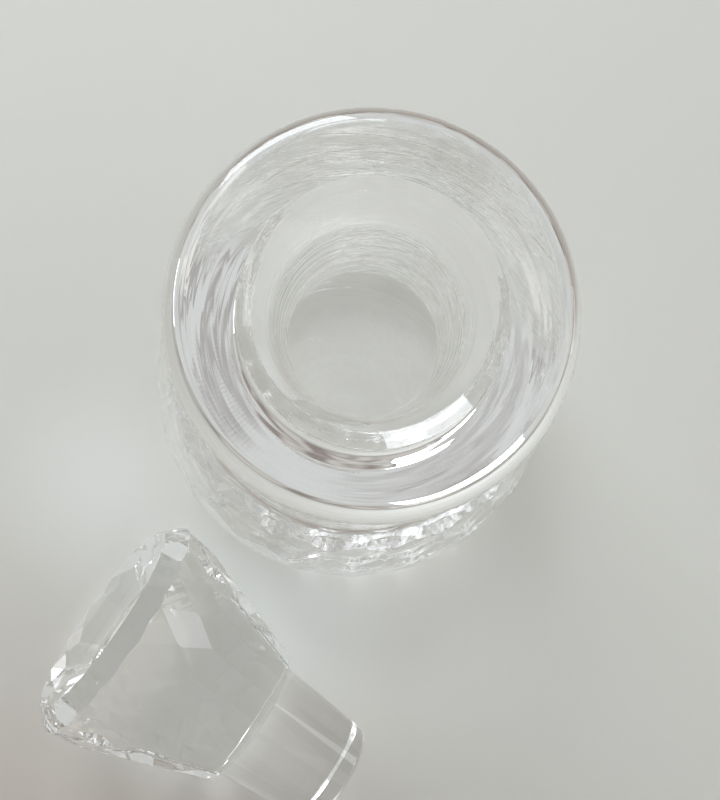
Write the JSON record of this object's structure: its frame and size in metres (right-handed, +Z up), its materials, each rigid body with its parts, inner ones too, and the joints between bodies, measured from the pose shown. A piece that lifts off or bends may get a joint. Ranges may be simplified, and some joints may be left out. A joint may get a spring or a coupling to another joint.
{
  "type": "decanter",
  "caption": "Clear cut-glass decanter with a faceted barrel body, a neck and a wide round lip, and its faceted glass stopper with a tapered peg lying beside it.",
  "frame": {"origin": "middle of the decanter's base, on the table", "axes": "+Z up the decanter's axis towards its lip; the stopper lies beside the body at -X and -Y, with its peg pointing to +X and -Y"},
  "size_m": [0.1386, 0.1749, 0.212],
  "materials": {
    "cut_glass": "polished"
  },
  "bodies": {
    "decanter": {"decanter": "cut_glass"},
    "stopper": {"stopper": "cut_glass"}
  },
  "joints": [
    {"name": "stopper_lift", "type": "slide", "parent": "decanter", "child": "stopper", "axis": [0, 0, 1], "range_m": [0, 0.22]}
  ]
}
